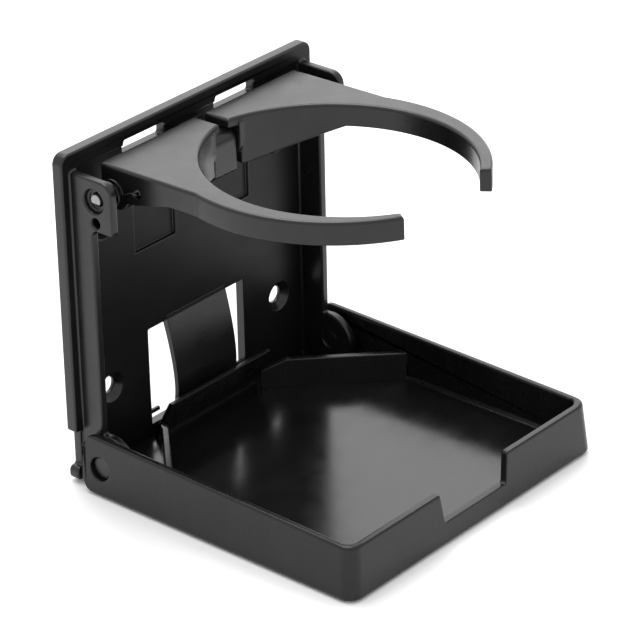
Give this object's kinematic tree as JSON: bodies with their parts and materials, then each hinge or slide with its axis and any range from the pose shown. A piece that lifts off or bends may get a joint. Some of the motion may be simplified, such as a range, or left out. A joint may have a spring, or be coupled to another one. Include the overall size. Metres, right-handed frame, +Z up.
{
  "type": "folding drink holder",
  "caption": "Wall-mounted folding drink holder: a screw-on plate with two sprung arms that fold down, a hinged square tray that folds up, and a springy pressure tongue.",
  "frame": {"origin": "middle of the back face that lies on the wall, between the four screw holes", "axes": "+Y into the wall, +Z up, +X to the right as seen from the drink side; the tray and arms reach out along -Y"},
  "size_m": [0.1036, 0.1016, 0.097],
  "materials": {
    "moulded_black": "fine moulded texture, satin black",
    "tray_black": "smooth black, glossier floor",
    "steel": "bright drawn wire"
  },
  "bodies": {
    "wall_frame": {"back_plate": "moulded_black"},
    "arm_shaft": {"pivot_rod": "steel", "left_arm_spring": "steel", "right_arm_spring": "steel"},
    "left_holder": {"left_arm": "moulded_black"},
    "right_holder": {"right_arm": "moulded_black"},
    "drink_tray": {"tray": "tray_black", "left_tray_pin": "moulded_black", "right_tray_pin": "moulded_black"},
    "tongue_leaf": {"pressure_tongue": "moulded_black"}
  },
  "joints": [
    {"name": "arms_fold", "type": "hinge", "parent": "wall_frame", "child": "arm_shaft", "pos_m": [0, -0.0118, 0.0384], "axis": [1, 0, 0], "range_deg": [0, 91.1]},
    {"name": "left_arm_slide", "type": "slide", "parent": "arm_shaft", "child": "left_holder", "axis": [1, 0, 0], "range_m": [-0.0032, 0], "stiffness_N_per_m": 450, "springref_m": 0.001, "deforming": ["left_arm_spring"]},
    {"name": "right_arm_slide", "type": "slide", "parent": "arm_shaft", "child": "right_holder", "axis": [-1, 0, 0], "range_m": [-0.0032, 0], "stiffness_N_per_m": 450, "springref_m": 0.001, "deforming": ["right_arm_spring"]},
    {"name": "tray_fold", "type": "hinge", "parent": "wall_frame", "child": "drink_tray", "pos_m": [0, -0.0129, -0.0392], "axis": [-1, 0, 0], "range_deg": [0, 55]},
    {"name": "tongue_swing", "type": "hinge", "parent": "wall_frame", "child": "tongue_leaf", "pos_m": [0, -0.0016, -0.012], "axis": [1, 0, 0], "range_deg": [0, 7], "stiffness_Nm_per_rad": 0.2, "springref_deg": -2.86}
  ]
}
